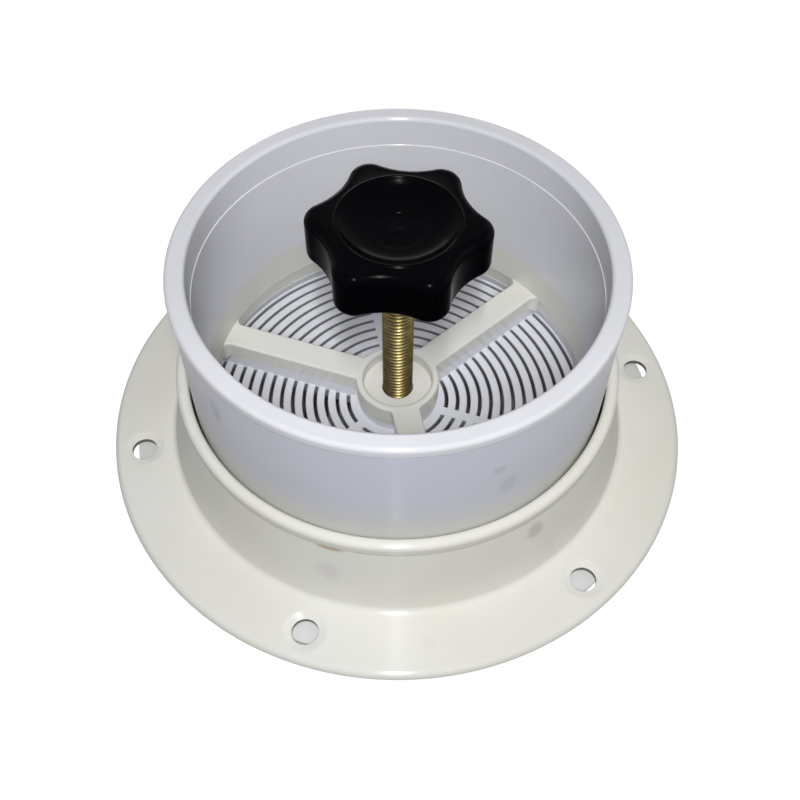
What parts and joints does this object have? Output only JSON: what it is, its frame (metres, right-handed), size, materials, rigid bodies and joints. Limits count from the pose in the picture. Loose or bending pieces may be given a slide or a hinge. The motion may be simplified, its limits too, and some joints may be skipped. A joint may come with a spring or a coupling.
{
  "type": "boat ventilator",
  "caption": "Round through-deck boat ventilator with a duct sleeve, a slotted grille, a sliding trim ring and a domed cap that a star knob screws open.",
  "frame": {"origin": "on the duct axis, in the deck face of the outer base, centre of its screw circle", "axes": "+Z along the duct axis into the cabin, towards the knob; the cap is on the -Z side"},
  "size_m": [0.154, 0.154, 0.1086],
  "materials": {
    "white_plastic": "glossy moulded plastic, cool white",
    "cream_plastic": "semi-gloss moulded plastic, warm white",
    "black_plastic": "satin moulded plastic, black",
    "brass": "turned bright brass",
    "seal_rubber": "soft black rubber",
    "steel": "plain stainless steel"
  },
  "bodies": {
    "housing": {"outer_base": "white_plastic", "sleeve": "white_plastic", "grille": "white_plastic", "spider": "cream_plastic", "hub_nut": "brass", "spider_screws": "steel"},
    "trim": {"cabin_ring": "cream_plastic"},
    "closure": {"cap": "white_plastic", "cap_seal": "seal_rubber", "thrust_washer": "brass", "cap_washer": "brass", "crown_plug": "white_plastic"},
    "screw": {"spindle": "brass", "knob": "black_plastic", "knob_insert": "brass", "end_nut": "brass", "knob_pin": "steel"}
  },
  "joints": [
    {"name": "ring_slide", "type": "slide", "parent": "housing", "child": "trim", "axis": [0, 0, 1], "range_m": [0, 0.0323]},
    {"name": "cap_travel", "type": "slide", "parent": "housing", "child": "closure", "axis": [0, 0, -1], "range_m": [0, 0.03885]},
    {"name": "knob_turn", "type": "hinge", "parent": "closure", "child": "screw", "pos_m": [0, 0, 0], "axis": [0, 0, -1], "range_deg": [0, 11190]}
  ],
  "couplings": [
    {"joint": "knob_turn", "follows": "cap_travel", "rad_per_m": 5026.5}
  ]
}
